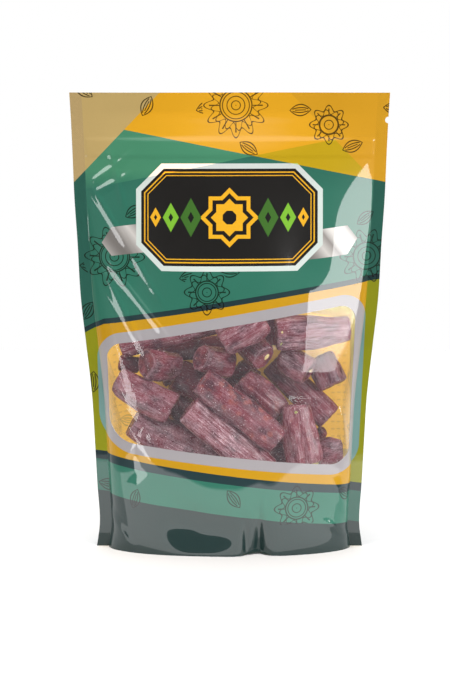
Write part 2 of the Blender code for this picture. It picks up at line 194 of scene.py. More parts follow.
def film_base(flat, height, side):
    """Points of the film without its creases; flat runs across the film, seals included."""
    table = film_tables[side]
    row = np.clip(height / HEIGHT * (TABLE_ROWS - 1), 0, TABLE_ROWS - 1.001)
    column = np.clip((flat / FLAT_HALF + 1) / 2 * (TABLE_COLUMNS - 1), 0, TABLE_COLUMNS - 1.001)
    i, j = row.astype(int), column.astype(int)
    a, b = (row - i)[:, None], (column - j)[:, None]
    low = table[i, j] * (1 - b) + table[i, j + 1] * b
    high = table[i + 1, j] * (1 - b) + table[i + 1, j + 1] * b
    xy = low * (1 - a) + high * a
    over = np.clip(np.abs(flat) - FLAT_HALF, 0.0, None)
    x = xy[:, 0] + np.sign(flat) * over
    y = np.where(over > 0, side * SEAL_HALF + top_sway(x, height), xy[:, 1])
    lift = PUCKER[2] * np.exp(-((x - PUCKER[0]) / PUCKER[1]) ** 2) * np.clip(1 - height / PUCKER_TOP, 0, 1)
    return np.stack([x, y, height + (lift if side < 0 else 0.0)], axis=1)


def ridge(x, z, start, end, height, left, right):
    """A sharp crease from start to end, whose slopes reach out by left and right of it."""
    along = np.array(end, dtype=float) - np.array(start, dtype=float)
    length = np.hypot(*along)
    along = along / length
    away = (x - start[0]) * along[1] - (z - start[1]) * along[0]
    part = ((x - start[0]) * along[0] + (z - start[1]) * along[1]) / length
    slope = np.where(away < 0, 1 + away / left, 1 - away / right)
    return height * np.clip(slope, 0, 1) * np.clip(np.minimum(part, 1 - part) * 5 + 0.5, 0, 1)


# Creases pressed into the film, all in millimetres: start, end, height, reach left, reach right
FRONT_CREASES = (
    ((-88, 233), (-43, 160), 0.75, 1.8, 4.4),
    ((-74, 252), (-66, 218), 0.60, 2.4, 3.5),
    ((-88, 231), (-62, 250), 0.55, 2.4, 4.0),
    ((-84, 226), (-62, 238), 0.50, 2.4, 4.0),
    ((-79, 178), (-52, 127), 0.80, 1.6, 5.4),
    ((-75, 182), (-39, 138), 0.95, 1.6, 4.4),
    ((-78, 128), (-66, 98), 0.45, 1.8, 3.0),
    ((48.5, 172), (47.5, 108), 0.80, 20.0, 20.0),
    ((71, 88), (77, 40), 0.45, 2.2, 2.6),
    ((66, 44), (80, 6), 0.55, 6.0, 3.0),
    ((74, 30), (84, 8), 0.65, 3.0, 3.0),
    ((60, 20), (82, 2), 0.50, 4.0, 3.0),
    ((10, 34), (14, 0), 0.70, 7.0, 3.0),
    ((21, 36), (22, 0), 0.65, 3.0, 8.0),
    ((-60, 46), (-40, 24), 0.50, 12.0, 8.0),
    ((-70, 90), (-46, 56), 0.50, 5.0, 7.0),
    ((-64, 62), (-52, 84), 0.35, 5.0, 4.0),
    ((-80, 30), (-62, 4), 0.55, 4.0, 6.0),
)
BACK_CREASES = (
    ((-70, 240), (-38, 176), 0.50, 4.0, 5.0),
    ((72, 232), (50, 150), 0.50, 5.0, 12.0),
    ((-40, 150), (20, 132), 0.40, 8.0, 6.0),
    ((64, 60), (80, 8), 0.50, 4.0, 4.0),
    ((-74, 50), (-60, 6), 0.50, 5.0, 4.0),
    ((-14, 40), (-9, 0), 0.55, 5.0, 4.0),
)
CREASE_SIDE_FADE = 0.006
CREASE_TOP_GAP, CREASE_TOP_FADE = 0.012, 0.02


def crease_depth(x, height, flat, side):
    """How far the creases stand proud of the smooth film; they die out at the seals and the top."""
    rise = np.zeros_like(x)
    for start, end, amount, left, right in FRONT_CREASES if side < 0 else BACK_CREASES:
        rise = np.maximum(rise, ridge(x * 1000, height * 1000, start, end, amount, left, right))
    rise = rise * 0.001
    room = np.clip((FLAT_HALF - np.abs(flat)) / CREASE_SIDE_FADE, 0, 1)
    room *= np.clip((HEIGHT - CREASE_TOP_GAP - height) / CREASE_TOP_FADE, 0, 1)
    return rise * room


def film_points(flat, height, side, crease=True):
    """Points and outward normals of the creased film."""
    step = 0.0005
    base = film_base(flat, height, side)
    across = film_base(flat + step, height, side) - film_base(flat - step, height, side)
    upward = film_base(flat, height + step, side) - film_base(flat, height - step, side)
    normal = np.cross(across, upward) * -side
    normal /= np.maximum(np.linalg.norm(normal, axis=1), 1e-12)[:, None]
    if crease:
        base = base + normal * crease_depth(base[:, 0], height, flat, side)[:, None]
    return base, normal


# The window's straight sides, as a point and an outward normal each, and the radius of each corner
WINDOW_CORNERS = ((-75.5, 71.5), (-77.0, 130.5), (79.5, 157.0), (75.0, 55.0))
WINDOW_RADII = (15.0, 8.0, 11.0, 12.0)


def rounded_distance(x, z, corners, radii, larger=np.maximum, smaller=np.minimum, root=np.sqrt):
    """Distance from a rounded outline whose corners run clockwise: negative inside, all in mm."""
    sides = []
    for (ax, az), (bx, bz) in zip(corners, corners[1:] + corners[:1]):
        length = math.hypot(bx - ax, bz - az)
        out_x, out_z = -(bz - az) / length, (bx - ax) / length
        sides.append(x * out_x + z * out_z - (ax * out_x + az * out_z))
    distance = None
    for i, radius in enumerate(radii):
        p, q = sides[i - 1] + radius, sides[i] + radius
        outer = root(larger(p, 0.0) * larger(p, 0.0) + larger(q, 0.0) * larger(q, 0.0))
        corner = outer + smaller(larger(p, q), 0.0) - radius
        distance = corner if distance is None else larger(distance, corner)
    return distance


def window_level(places):
    """Distance in mm of flat places on the front film from the window's outline."""
    x = film_base(places[:, 0], places[:, 1], -1)[:, 0]
    return rounded_distance(x * 1000, places[:, 1] * 1000, WINDOW_CORNERS, WINDOW_RADII)


def notch_level(places, side):
    """Distance in mm from the half-round tear notch at the right edge: negative inside it."""
    x = film_base(places[:, 0], places[:, 1], side)[:, 0]
    edge = np.interp(NOTCH_HEIGHT, table_heights, table_profile[:, 0])
    return (np.hypot(x - edge, places[:, 1] - NOTCH_HEIGHT) - NOTCH_RADIUS) * 1000


def even_steps(low, high, pitch):
    return np.linspace(low, high, max(2, round((high - low) / pitch)) + 1)


def grid_cells(rows, columns):
    """The corners of each four-sided cell of a grid, row by row."""
    index = np.arange(rows * columns).reshape(rows, columns)
    corners = (index[:-1, :-1], index[:-1, 1:], index[1:, 1:], index[1:, :-1])
    return np.stack(corners, axis=-1).reshape(-1, 4)


def film_grid(pitch, seal_pitch):
    """Flat places of a film's grid corners, finer over the seals, and its four-sided cells."""
    seal = even_steps(FLAT_HALF, FLAT_HALF + SIDE_SEAL, seal_pitch)
    across = np.concatenate([-seal[:0:-1], even_steps(-FLAT_HALF, FLAT_HALF, pitch), seal[1:]])
    upward = even_steps(0.0, HEIGHT, pitch)
    places = np.stack(np.meshgrid(across, upward), axis=-1).reshape(-1, 2)
    return places, grid_cells(len(upward), len(across)).tolist()


# Corners nearer than this to a cut, in mm, are moved onto it
CUT_SNAP = 0.25


def cut_film(places, cells, level):
    """Splits the cells where level is zero: returns the places, the cells below and those above."""
    value = level(places)
    step = 1e-5
    slope = np.stack([(level(places + [step, 0]) - level(places - [step, 0])) / (2 * step),
                      (level(places + [0, step]) - level(places - [0, step])) / (2 * step)], axis=1)
    near = np.abs(value) < CUT_SNAP
    places = places.copy()
    places[near] -= slope[near] * (value / np.maximum((slope**2).sum(axis=1), 1e-9))[near, None]
    value = np.where(near, 0.0, value)
    places, below, above, crossings = list(map(tuple, places)), [], [], {}

    def crossing(a, b):
        key = (min(a, b), max(a, b))
        if key not in crossings:
            part = value[a] / (value[a] - value[b])
            crossings[key] = len(places)
            places.append(tuple(np.array(places[a]) * (1 - part) + np.array(places[b]) * part))
        return crossings[key]

    sign_of = np.sign(value).tolist()
    for cell in cells:
        sign = [sign_of[corner] for corner in cell]
        if max(sign) <= 0:
            below.append(cell)
        elif min(sign) >= 0:
            above.append(cell)
        else:
            parts = {-1: [], 1: []}
            for k in range(len(cell)):
                a, b = cell[k], cell[(k + 1) % len(cell)]
                for kept in (-1, 1):
                    if sign[k] * kept >= 0:
                        parts[kept].append(a)
                if sign[k] * sign[(k + 1) % len(cell)] < 0:
                    middle = crossing(a, b)
                    parts[-1].append(middle)
                    parts[1].append(middle)
            below.append(parts[-1])
            above.append(parts[1])
    return np.array(places), below, above


def closed_sheet(name, upper, lower, cells, material):
    """A thin closed mesh: cells over the upper points, the same over the lower ones, and a rim all round."""
    count = len(upper)
    faces = cells + [[corner + count for corner in reversed(cell)] for cell in cells]
    edges = {(cell[k], cell[(k + 1) % len(cell)]) for cell in cells for k in range(len(cell))}
    faces += [[b, a, a + count, b + count] for a, b in sorted(edges) if (b, a) not in edges]
    mesh = bpy.data.meshes.new(name)
    mesh.from_pydata(np.concatenate([upper, lower]).tolist(), [], faces)
    mesh.materials.append(material)
    mesh.shade_smooth()
    return mesh


def film_piece(name, places, cells, side, material):
    """A closed thin sheet over the given cells of the film, with its flat places as a UV map."""
    used = sorted({corner for cell in cells for corner in cell})
    renumber = {old: new for new, old in enumerate(used)}
    places = places[used]
    cells = [[renumber[corner] for corner in cell] for cell in cells]
    if side > 0:
        cells = [cell[::-1] for cell in cells]
    outer, normal = film_points(places[:, 0], places[:, 1], side)
    mesh = closed_sheet(name, outer, outer - normal * FILM_THICKNESS, cells, material)
    layer = mesh.uv_layers.new(name="film")
    corners = np.zeros(len(mesh.loops), dtype=np.int32)
    mesh.loops.foreach_get("vertex_index", corners)
    layer.data.foreach_set("uv", np.concatenate([places, places])[corners].ravel())
    inner_face = mesh.attributes.new("inner_face", 'FLOAT', 'POINT')
    inner_face.data.foreach_set("value", np.repeat([0.0, 1.0], len(places)))
    mesh.set_sharp_from_angle(angle=math.radians(FILM_SHARP_ANGLE))
    return stand(name, mesh)


class Value:
    """One output of a material's node tree, which takes part in Python's own arithmetic."""

    def __init__(self, tree, socket=None):
        self.tree, self.socket = tree, socket

    def node(self, kind, settings=(), inputs=(), output=0):
        """A new node: its settings come first, then the values or links of its sockets."""
        made = self.tree.nodes.new(kind)
        for name, value in dict(settings).items():
            if name == "stops":
                for stop, (place, colour) in zip_stops(made.color_ramp, value):
                    stop.position, stop.color = place, colour
            else:
                setattr(made, name, value)
        plug(made, dict(inputs))
        return Value(self.tree, made.outputs[output] if made.outputs else None)

    def out(self, output):
        """Another output of the same node."""
        return Value(self.tree, self.socket.node.outputs[output])

    def place(self):
        return self.node("ShaderNodeTexCoord", output="Object")

    def attribute(self, name, output="Fac"):
        return self.node("ShaderNodeAttribute", {"attribute_name": name}, output=output)

    def parts(self):
        """The first part of this vector; out(1) and out(2) give the others."""
        return self.node("ShaderNodeSeparateXYZ", {}, {0: self})

    def noise(self, scale, detail=2.0, roughness=0.5):
        """Noise read at this place, about 0.5."""
        return self.node("ShaderNodeTexNoise", {}, {
            "Vector": self, "Scale": scale, "Detail": detail, "Roughness": roughness})

    def blend(self, low, high):
        """The colour low where this is zero, and high where it is one."""
        return self.node("ShaderNodeMix", {"data_type": 'RGBA'}, {0: self, 6: low, 7: high}, 2)

    def maths(self, operation, *others):
        return self.node("ShaderNodeMath", {"operation": operation}, dict(enumerate([self, *others])))

    def larger(self, other):
        return self.maths("MAXIMUM", other)

    def smaller(self, other):
        return self.maths("MINIMUM", other)

    def root(self):
        return self.maths("SQRT")

    def clamped(self, most=1.0):
        return self.larger(0.0).smaller(most)

    def between(self, low, high):
        """Zero up to low, one from high on, and even in between."""
        return ((self - low) / (high - low)).clamped()

    def paint(self, colour, mask):
        """This colour with another over it where the mask is one."""
        return mask.blend(self, colour)

    def times(self, colour, share=1.0):
        """This colour multiplied by another."""
        settings = {"data_type": 'RGBA', "blend_type": 'MULTIPLY'}
        return self.node("ShaderNodeMix", settings, {0: share, 6: self, 7: colour}, 2)

    def inside(self, soft=0.15):
        """One where this distance is negative, zero outside, with a soft edge."""
        return (0.5 - self / soft).clamped()

    def line(self, width, soft=0.12):
        """One on a line where this distance is zero."""
        return (abs(self) - width / 2).inside(soft)

    def __add__(self, other):
        return self.maths("ADD", other)

    def __sub__(self, other):
        return self.maths("SUBTRACT", other)

    def __rsub__(self, other):
        return -self + other

    def __mul__(self, other):
        return self.maths("MULTIPLY", other)

    def __truediv__(self, other):
        return self.maths("DIVIDE", other)

    def __abs__(self):
        return self.maths("ABSOLUTE")

    def __neg__(self):
        return self * -1.0

    __radd__, __rmul__ = __add__, __mul__


def zip_stops(ramp, stops):
    while len(ramp.elements) < len(stops):
        ramp.elements.new(1.0)
    return zip(ramp.elements, stops)


def colour(code):
    """A linear colour from its six-figure web code."""
    parts = [int(code[i:i + 2], 16) / 255 for i in (0, 2, 4)]
    return (*[p / 12.92 if p <= 0.04045 else ((p + 0.055) / 1.055) ** 2.4 for p in parts], 1.0)


def new_material(name):
    """A material's Principled shader and the start of its node tree."""
    material = bpy.data.materials.new(name)
    material.use_nodes = True
    tree = material.node_tree
    return material, tree.nodes["Principled BSDF"], Value(tree)


def plug(node, inputs):
    """Sets a node's sockets by name or place."""
    for name, value in inputs.items():
        if isinstance(value, Value):
            value.tree.links.new(value.socket, node.inputs[name])
        else:
            node.inputs[name].default_value = value


def place_values(start):
    """X and height in mm, and the film's own flat width in mm."""
    parts = start.place().parts()
    flat = start.node("ShaderNodeUVMap", {"uv_map": "film"})
    return flat, parts * 1000.0, parts.out(2) * 1000.0, flat.parts() * 1000.0


# The print's fields of colour, read down the front: all places in mm, slopes as rise over run
GREEN, YELLOW, TAN = colour("2a6755"), colour("d49b1c"), colour("b39a69")
DARK, SILVER, DEEP = colour("182e31"), colour("979294"), colour("192c2b")
# The yellow field round the window is print, but its darker yellow is painted shade of the lower film, where
# less light falls.
WINDOW_YELLOW_SHADED = colour("b4860a")
FIELD_INKS = {"green": GREEN, "yellow": YELLOW, "tan": TAN, "deep": DEEP}
TOP_LINE = (251.9, -0.20)
TAN_LINE = (333.4, 1.04)
STRIPE_LINE = (157.8, 0.16)
STRIPE_WIDTH = 3.4
LOWER_LINE = (51.4, -0.127)
LOWER_STRIPE = 5.4
DEEP_LINE = (26.0, -0.125)
RING_WIDTH = 6.6


def fields(x, z, inks):
    """The large fields of the print: green, the yellow top, the tan corner and the deep foot."""
    paint = x.node("ShaderNodeRGB")
    paint.socket.default_value = inks["green"]
    paint = paint.paint(inks["deep"], (z - DEEP_LINE[1] * x - DEEP_LINE[0]).inside())
    paint = paint.paint(inks["yellow"], (TOP_LINE[0] + TOP_LINE[1] * x - z).inside())
    return paint.paint(inks["tan"], (TAN_LINE[0] + TAN_LINE[1] * x - z).inside())


SEED_HALF = (6.6, 3.5)


def seed_lines(vector, scale, kept, seed_shift):
    """Outlines of small almond-shaped seeds, one in each cell of an uneven net."""
    moved = vector.node("ShaderNodeMapping", {}, {0: vector, 1: seed_shift, 3: (scale, scale, scale)})
    cell = moved.node("ShaderNodeTexVoronoi", {"voronoi_dimensions": '2D'},
                      {"Vector": moved, "Scale": 1.0, "Randomness": 0.62}, "Position")
    away = moved.node("ShaderNodeVectorMath", {"operation": 'SUBTRACT'}, {0: moved, 1: cell})
    pick = cell.node("ShaderNodeSeparateColor", {}, {0: cell.out("Color")})
    turned = away.node("ShaderNodeVectorRotate", {"rotation_type": 'Z_AXIS'},
                       {"Vector": away, "Angle": pick * 6.28})
    split = turned.parts()
    along, across = abs(split) * (1000.0 / scale), abs(split.out(1)) * (1000.0 / scale)
    bow = 1.0 - (along / SEED_HALF[0]) * (along / SEED_HALF[0])
    rim = across - bow * SEED_HALF[1]
    lines = rim.line(0.8).larger((across - bow * 1.5).line(0.7) * (along - 5.0).inside())
    lines = lines.larger(across.line(0.6) * (along - 3.4).inside())
    return lines * (pick.out(1) - kept).inside(0.001) * (along - SEED_HALF[0] - 0.3).inside()


HEART_RINGS = math.pi / 2.8


def rosette_lines(x, z, at, size, petals):
    """A round ornament: rings in its heart and two rows of round leaves about it."""
    dx, dz = x - at[0], z - at[1]
    reach = (dx * dx + dz * dz).root()
    angle = dz.maths("ARCTAN2", dx)
    wave = (angle * petals).maths("COSINE")
    outer = reach - size * (0.86 + 0.14 * wave)
    inner = reach - size * (0.66 + 0.12 * (angle * petals).maths("SINE"))
    lines = outer.line(0.85).larger(inner.line(0.7)).larger((reach - size * 0.5).line(0.8))
    net = abs((reach * HEART_RINGS).maths("SINE"))
    spokes = abs((angle * (petals / 2)).maths("SINE")) - 0.16
    lines = lines.larger((net - 0.33).inside(0.12) * (reach - size * 0.47).inside())
    ring = (reach - size * 0.84).inside() * (size * 0.52 - reach).inside()
    return lines.larger(spokes.inside(0.08) * ring), reach


ROSETTES = ((-72.0, 186.0, 19.0, 10), (4.0, 280.0, 20.0, 12), (62.0, 268.0, 12.0, 8), (86.0, 186.0, 17.0, 10),
            (-14.0, 165.0, 14.0, 8), (42.0, 30.0, 14.0, 8))


def motif_lines(flat, x, z):
    lines = seed_lines(flat, 29.0, 0.72, (0.013, 0.021, 0.0))
    for at_x, at_z, size, petals in ROSETTES:
        rosette, reach = rosette_lines(x, z, (at_x, at_z), size, petals)
        lines = (lines * (size + 1.0 - reach).inside()).larger(rosette)
    return lines


PLAQUE_AT = (0.0, 211.0)
PLAQUE_HALF = (55.0, 30.0)
PLAQUE_BEVEL = 14.0
HALO, GOLD, BLACK = colour("c6cfc9"), colour("dda41f"), colour("161412")
LEAF, LIME = colour("3a6524"), colour("74ad2f")
HALO_WIDTH = 3.2
BAND_DROP, BAND_WAVE, BAND_HALF, BAND_POINT = 15.0, 3.0, (80.0, 9.0), 0.7
BAND_SHEEN = ((0.0, colour("6f6a66")), (0.45, colour("c4bfba")),
              (0.8, colour("8d8783")), (1.0, colour("dedad5")))

# How far in each gold line lies and its width, and the half widths of the star's steps and heart
GOLD_LINES = ((2.2, 0.8), (4.2, 0.6))
STAR_STEPS = ((GOLD, 13.0), (BLACK, 10.6), (GOLD, 8.2))
STAR_HEART = 4.2

# The lozenges to both sides of the star: place, ink and half sizes
LOZENGES = ((24.0, LEAF, (6.5, 12.0)), (36.5, LIME, (5.0, 9.0)), (46.0, GOLD, (3.4, 6.0)))
LOZENGE_HEART = 0.3


def octagon_distance(dx, dz, half, bevel):
    """Distance from a long octagon, negative inside."""
    corner = (abs(dx) + abs(dz) - (half[0] + half[1] - bevel)) * 0.7071
    return (abs(dx) - half[0]).larger(abs(dz) - half[1]).larger(corner)


def diamond_mask(dx, dz, at, half):
    return (abs(dx - at[0]) / half[0] + abs(dz - at[1]) / half[1] - 1.0).inside(0.06)


def plaque(paint, x, z):
    """A silver band with pointed ends and a dark plaque with a plain star ornament over it."""
    dx, dz = x - PLAQUE_AT[0], z - PLAQUE_AT[1]
    drop = dz + BAND_DROP + (dx * 0.045).maths("SINE") * BAND_WAVE
    band = (abs(drop) - BAND_HALF[1]).larger(abs(dx) - BAND_HALF[0] + abs(drop) * BAND_POINT)
    sheen = (dx * 0.11 + drop * 0.08).maths("SINE") * 0.5 + 0.5
    silver = paint.node("ShaderNodeValToRGB", {"stops": BAND_SHEEN}, {0: sheen})
    paint = paint.paint(silver, band.inside())
    edge = octagon_distance(dx, dz, PLAQUE_HALF, PLAQUE_BEVEL)
    paint = paint.paint(HALO, (edge - HALO_WIDTH).inside()).paint(BLACK, edge.inside())
    for inset, width in GOLD_LINES:
        paint = paint.paint(GOLD, (edge + inset).line(width))
    square, turned = abs(dx).larger(abs(dz)), (abs(dx) + abs(dz)) * 0.7071
    for ink, half in STAR_STEPS:
        paint = paint.paint(ink, (square.smaller(turned) - half).inside())
    paint = paint.paint(BLACK, (square.larger(turned) - STAR_HEART).inside())
    for sign in (-1, 1):
        for at, ink, half in LOZENGES:
            heart = (half[0] * LOZENGE_HEART, half[1] * LOZENGE_HEART)
            paint = paint.paint(ink, diamond_mask(dx, dz, (sign * at, 0.0), half))
            paint = paint.paint(BLACK, diamond_mask(dx, dz, (sign * at, 0.0), heart))
    return paint


def band_edges(x, z):
    """Distances over the upper and the lower edge of the yellow field round the window."""
    dip = (x + 79.0).smaller(0.0) * 0.35
    return z - STRIPE_LINE[1] * x - STRIPE_LINE[0] - dip, z - LOWER_LINE[1] * x - LOWER_LINE[0]


def window_field(paint, x, z):
    """The yellow field round the window, in a yellow darkened as painted shade, and its dark stripes."""
    above, below = band_edges(x, z)
    paint = paint.paint(WINDOW_YELLOW_SHADED, (above.larger(-below)).inside())
    paint = paint.paint(DARK, above.line(STRIPE_WIDTH))
    return paint.paint(DARK, (below + LOWER_STRIPE / 2).line(LOWER_STRIPE))


# What a dark and a pale front turn into over each of the back's fields, where the two films touch
BACK_DROP = 6.0
DARK_OVER = {"green": (0.92, 0.88, 0.90, 1), "yellow": (2.15, 1.52, 1.24, 1),
             "tan": (1.5, 1.5, 1.2, 1), "deep": (0.80, 0.85, 0.85, 1)}
PALE_OVER = {"green": (0.67, 0.88, 0.30, 1), "yellow": (0.97, 0.95, 0.80, 1),
             "tan": (0.86, 0.85, 0.95, 1), "deep": (0.50, 0.60, 0.50, 1)}
PALE_FRONT = {"green": (0, 0, 0, 1), "yellow": (1, 1, 1, 1), "tan": (1, 1, 1, 1), "deep": (0, 0, 0, 1)}
SEAL_TINTS = {"green": (0.64, 0.62, 0.66, 1), "yellow": (0.82, 0.82, 0.82, 1),
              "tan": (0.88, 0.86, 0.84, 1), "deep": (0.70, 0.75, 0.75, 1)}
WINDOW_SEAL_TINT = (0.43, 0.84, 0.76, 1)
SEAL_DOT_PITCH = 1.3
SEAL_DOT_RELIEF = 0.25
FLAT_TOP = (226.0, 240.0)
# The back film's inner face is mixed toward a pale yellow: partly the milky inner ply, partly painted light
# standing in for the daylight that shines through the film.
INNER_MILK_AND_LIGHT = colour("ffd890")
INNER_MILK_AND_LIGHT_SHARE = 0.4
# Painted light: the back film's inner face glows as if daylight shone through it from behind; a painted
# shadow of the pile keeps most of it off in the middle
THROUGH_LIGHT = (0.84, 0.77, 0.31, 1.0)
BESIDE_PILE = (42.0, 62.0)
PILE_SHADOW_SHARE = 0.12
BACK_PANEL_EDGE, BACK_EDGE_LINE = -77.0, 0.9
MARK_ROW, MARK_ENDS, MARK_STRENGTH = 9.5, (64.0, 74.0), 0.7
MARK_INK, MOTIF_INK = colour("a9813a"), colour("646250")
MOTIF_FOOT = 20.0


def back_marks(x, z):
    """Short plain bars in rows at both ends of the back's yellow field."""
    rows = abs((z + 0.127 * x).maths("PINGPONG", MARK_ROW / 2) - MARK_ROW / 4) - 0.5
    bars = abs((x * 0.9).maths("SINE")) - 0.82
    ends = (MARK_ENDS[0] - abs(x)).inside() * (abs(x) - MARK_ENDS[1]).inside()
    return rows.inside(0.3) * bars.inside(0.1) * ends


def see_through(paint, x, z, seal, own_drop, other_drop):
    """Where the two films touch, at the seals and the flat top, the other side's print shows through."""
    over = fields(-x, z + other_drop, DARK_OVER).paint(
        fields(-x, z + other_drop, PALE_OVER), fields(x, z + own_drop, PALE_FRONT))
    paint = paint.times(over, z.between(*FLAT_TOP) * (1.0 - seal))
    above, below = band_edges(x, z)
    tints = fields(x, z + own_drop, SEAL_TINTS).paint(WINDOW_SEAL_TINT, above.larger(-below).inside())
    return paint.times(tints, seal)


def seal_dots(u, z, seal):
    """The fine dotted pattern that the sealing jaws press into the seals."""
    across, upward = (u * (math.tau / SEAL_DOT_PITCH)), (z * (math.tau / SEAL_DOT_PITCH))
    return across.maths("SINE") * upward.maths("SINE") * seal


def grey_of(value):
    """A grey colour of this lightness."""
    return value.node("ShaderNodeCombineColor", {}, {0: value, 1: value, 2: value})


def finish_film(shader, start, flat, paint, relief=0.0):
    """Gloss of the laminate with faint waviness, and the print's fine grain."""
    mottle = flat.noise(26.0, 3.0)
    shade = 0.93 + flat.noise(900.0) * 0.05 + mottle * 0.09
    waves = flat.noise(75.0, 2.0, 0.4)
    bump = start.node("ShaderNodeBump", {}, {"Strength": 0.35, "Distance": 0.0006, "Height": waves + relief})
    plug(shader, {"Base Color": paint.times(grey_of(shade)), "Roughness": 0.30 + mottle * 0.16,
                  "Coat Weight": 0.9, "Coat Roughness": 0.035, "Normal": bump,
                  "IOR": 1.5, "Specular IOR Level": 0.12})


def printed_film(name, mirrored):
    """The printed laminate. The back's layout is the front's, seen from behind, without the window."""
    material, shader, start = new_material(name)
    flat, x, z, u = place_values(start)
    if mirrored:
        x, u = -x, -u
    own_drop, other_drop = (BACK_DROP, 0.0) if mirrored else (0.0, BACK_DROP)
    paint = window_field(fields(x, z + own_drop, FIELD_INKS), x, z)
    paint = paint.times(MOTIF_INK, motif_lines(flat, x, z) * (MOTIF_FOOT - z).inside(0.001))
    if mirrored:
        edge = x - BACK_PANEL_EDGE
        paint = paint.paint(GREEN, edge.inside()).paint(DARK, edge.line(BACK_EDGE_LINE))
        paint = paint.times(MARK_INK, back_marks(x, z) * MARK_STRENGTH)
    else:
        paint = plaque(paint, x, z)
        ring = rounded_distance(x, z, WINDOW_CORNERS, WINDOW_RADII, Value.larger, Value.smaller, Value.root)
        paint = paint.paint(SILVER, (ring - RING_WIDTH).inside())
    seal = (1000.0 * FLAT_HALF - abs(u)).inside(0.3)
    paint = see_through(paint, x, z, seal, own_drop, other_drop)
    if mirrored:
        inner = start.attribute("inner_face")
        # Partly painted light: the inner face is made paler and brighter.
        paint = paint.paint(INNER_MILK_AND_LIGHT, inner * INNER_MILK_AND_LIGHT_SHARE)
        # The inner face glows with painted light, and a painted shadow of the pile dims it in the middle.
        outside_pile_shadow = abs(x).between(*BESIDE_PILE) * (1.0 - PILE_SHADOW_SHARE) + PILE_SHADOW_SHARE
        plug(shader, {"Emission Color": paint.times(THROUGH_LIGHT).times(
            grey_of(outside_pile_shadow * inner)), "Emission Strength": 1.0})
    finish_film(shader, start, flat, paint, seal_dots(u, z, seal) * SEAL_DOT_RELIEF)
    return material


front_film = printed_film("front_print", mirrored=False)
places, cells = film_grid(FRONT_PITCH, FRONT_SEAL_PITCH)
places, window_cells, panel_cells = cut_film(places, cells, window_level)
places, _, panel_cells = cut_film(places, panel_cells, lambda p: notch_level(p, -1))
front_panel = film_piece("front_panel", places, panel_cells, -1, front_film)
front_panel.visible_shadow = front_panel.visible_diffuse = False
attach(front_panel, "root")
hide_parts("pouch")


# The window is the same film left unprinted, so the front runs on over it without a step.
WINDOW_HAZE = 0.022
clear_film = bpy.data.materials.new("clear_film")
clear_film.use_nodes = True
clear_start = Value(clear_film.node_tree)
clear_film.node_tree.nodes.remove(clear_film.node_tree.nodes["Principled BSDF"])
gloss = clear_start.node("ShaderNodeBsdfGlossy", {}, {"Color": (1, 1, 1, 1), "Roughness": 0.05})
through = clear_start.node("ShaderNodeBsdfTransparent", {}, {"Color": (0.97, 0.975, 0.97, 1)})
fresnel = clear_start.node("ShaderNodeFresnel", {}, {"IOR": 1.5})
haze = clear_start.node("ShaderNodeBsdfDiffuse", {}, {"Color": (0.90, 0.84, 0.90, 1)})
hazy = clear_start.node("ShaderNodeMixShader", {}, {0: WINDOW_HAZE, 1: through, 2: haze})
mixed = clear_start.node("ShaderNodeMixShader", {}, {0: fresnel * 0.36, 1: hazy, 2: gloss})
clear_film.node_tree.links.new(mixed.socket, clear_film.node_tree.nodes["Material Output"].inputs[0])
window_film = film_piece("window_film", places, window_cells, -1, clear_film)
window_film.visible_shadow = window_film.visible_diffuse = False
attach(window_film, "root")
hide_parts("window_pane")


# The back panel is the second sheet of the same film, printed all over, and sealed to the front.
BACK_PITCH, BACK_SEAL_PITCH = 0.0014, 0.00125
back_film = printed_film("back_print", mirrored=True)
back_places, back_cells = film_grid(BACK_PITCH, BACK_SEAL_PITCH)
back_places, _, back_cells = cut_film(back_places, back_cells, lambda p: notch_level(p, 1))
back_panel = film_piece("back_panel", back_places, back_cells, 1, back_film)
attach(back_panel, "root")
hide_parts("pouch")


# The bottom gusset is a third strip of film, folded out flat under the load inside the standing rim.
GUSSET_THICKNESS = 0.0003
GUSSET_LIFT, GUSSET_RISE, GUSSET_WAVE = 0.0004, 0.0042, 0.0002
GUSSET_PITCH, GUSSET_STEPS = 0.0016, 81
GUSSET_ROWS = ((-1.0, 0.0), (-0.95, 0.0), (-0.86, 0.6), (-0.74, 1.0), (-0.60, 0.05),
               (0.60, 0.05), (0.74, 1.0), (0.86, 0.6), (0.95, 0.0), (1.0, 0.0))


def make_gusset(material):
    across = even_steps(-FLAT_HALF, FLAT_HALF, GUSSET_PITCH)
    shares = np.linspace(-1.0, 1.0, GUSSET_STEPS)
    rises = np.interp(shares, [row[0] for row in GUSSET_ROWS], [row[1] for row in GUSSET_ROWS])
    low = np.zeros_like(across)
    front, back = film_base(across, low, -1), film_base(across, low, 1)
    reach = 1 - (across / FLAT_HALF) ** 4
    rows = []
    for share, rise in zip(shares, rises):
        rim = front if share < 0 else back
        y = np.where(abs(share) < 1, rim[:, 1] * abs(share) * 0.995, rim[:, 1] * 0.995)
        height = GUSSET_LIFT + GUSSET_RISE * rise * reach + GUSSET_WAVE * np.sin(across * 260 + share * 9)
        rows.append(np.stack([rim[:, 0] * 0.999, y, height], axis=1))
    points = np.concatenate(rows)
    cells = grid_cells(len(shares), len(across))[:, [0, 3, 2, 1]].tolist()
    inside = points + [0.0, 0.0, GUSSET_THICKNESS]
    return stand("bottom_gusset", closed_sheet("bottom_gusset", points, inside, cells, material))


gusset_film, gusset_shader, gusset_start = new_material("gusset_film")
gusset_ink = gusset_start.node("ShaderNodeRGB")
gusset_ink.socket.default_value = DEEP
finish_film(gusset_shader, gusset_start, gusset_start.place(), gusset_ink)
bottom_gusset = make_gusset(gusset_film)
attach(bottom_gusset, "root")
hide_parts("pouch")


